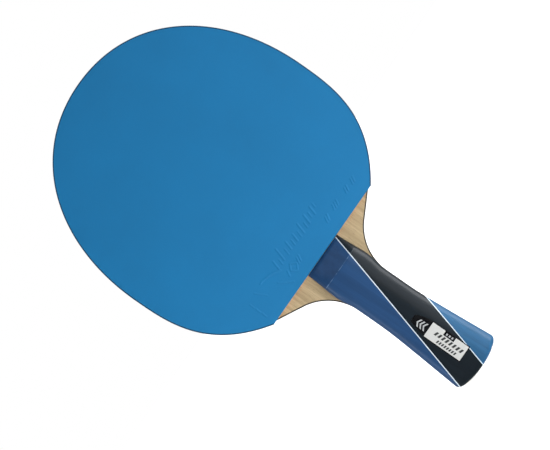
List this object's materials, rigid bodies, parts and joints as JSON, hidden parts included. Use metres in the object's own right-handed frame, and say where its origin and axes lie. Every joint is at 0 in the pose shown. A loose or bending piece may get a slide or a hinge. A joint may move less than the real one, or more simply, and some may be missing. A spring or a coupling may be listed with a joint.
{
  "type": "table tennis paddle",
  "caption": "Table tennis paddle: plywood blade with carbon plies, sponge and rubber coverings, and a flared handle laminated from blue, black and white wood.",
  "frame": {"origin": "middle of the crowned butt end, on the middle plane of the blade", "axes": "+Z from the butt to the head, -Y out of the blue front face, +X to the right seen from the front"},
  "size_m": [0.151, 0.0248, 0.2571],
  "materials": {
    "core_wood": "bare, light and open-grained",
    "inner_wood": "bare",
    "carbon_weave": "woven black fibre in resin",
    "face_wood": "fine straight grain, thin clear seal",
    "glue": "dried milky film",
    "sponge": "fine open-pored foam",
    "blue_rubber": "smooth, softly shiny",
    "black_rubber": "smooth, softly shiny",
    "blue_wood": "dyed through and satin lacquered",
    "white_veneer": "satin lacquered",
    "black_wood": "dyed through and satin lacquered",
    "badge_black": "gloss",
    "badge_silver": "fine brushed"
  },
  "bodies": {
    "root": {"core_ply": "core_wood", "front_inner_ply": "inner_wood", "rear_inner_ply": "inner_wood", "front_carbon_ply": "carbon_weave", "rear_carbon_ply": "carbon_weave", "front_face_ply": "face_wood", "rear_face_ply": "face_wood", "front_glue_film": "glue", "rear_glue_film": "glue", "front_sponge": "sponge", "rear_sponge": "sponge", "front_topsheet": "blue_rubber", "rear_topsheet": "black_rubber", "front_scale_left": "blue_wood", "front_inlay_upper": "white_veneer", "front_scale_band": "black_wood", "front_inlay_lower": "white_veneer", "front_scale_right": "blue_wood", "rear_scale_left": "blue_wood", "rear_inlay_upper": "white_veneer", "rear_scale_band": "black_wood", "rear_inlay_lower": "white_veneer", "rear_scale_right": "blue_wood", "badge_backing": "badge_black", "badge_panel": "badge_silver"}
  },
  "joints": []
}
